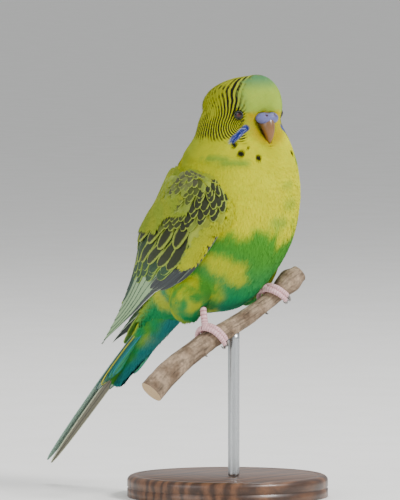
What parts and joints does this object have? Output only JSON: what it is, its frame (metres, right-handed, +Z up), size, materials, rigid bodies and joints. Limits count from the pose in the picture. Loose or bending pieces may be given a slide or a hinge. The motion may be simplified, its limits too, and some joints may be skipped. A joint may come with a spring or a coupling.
{
  "type": "budgerigar",
  "caption": "Life-size still model of a green and yellow budgerigar on a short cut branch, held by a round wooden display base with a metal rod",
  "frame": {"origin": "centre of the underside of the round base", "axes": "+X is the way the bird's body faces, +Y is the bird's left, +Z is up"},
  "size_m": [0.1419, 0.0893, 0.1762],
  "materials": {
    "plumage": "soft body feathers, yellow with green patches and black bars",
    "wing_feathers": "flat vanes, dark centres with yellow edges",
    "tail_feathers": "long flat vanes, pale green with a dark shaft",
    "cere": "smooth waxy skin, lilac blue",
    "beak": "polished horn",
    "eye": "wet dark red brown",
    "foot": "scaly pink skin",
    "claw": "grey horn",
    "bark": "dry grey brown bark, pale cut ends",
    "base_wood": "turned dark hardwood, satin oil",
    "rod_steel": "brushed"
  },
  "bodies": {
    "root": {"head": "plumage", "neck": "plumage", "torso": "plumage", "thigh_right": "plumage", "thigh_left": "plumage", "wing_right": "wing_feathers", "wing_left": "wing_feathers", "tail": "tail_feathers", "cere": "cere", "beak_upper": "beak", "beak_lower": "beak", "eye_right": "eye", "eye_left": "eye", "foot_right": "foot", "foot_left": "foot", "claw_right_inner_front": "claw", "claw_right_outer_front": "claw", "claw_right_inner_hind": "claw", "claw_right_outer_hind": "claw", "claw_left_inner_front": "claw", "claw_left_outer_front": "claw", "claw_left_inner_hind": "claw", "claw_left_outer_hind": "claw", "perch": "bark", "stand_base": "base_wood", "stand_rod": "rod_steel"}
  },
  "joints": []
}
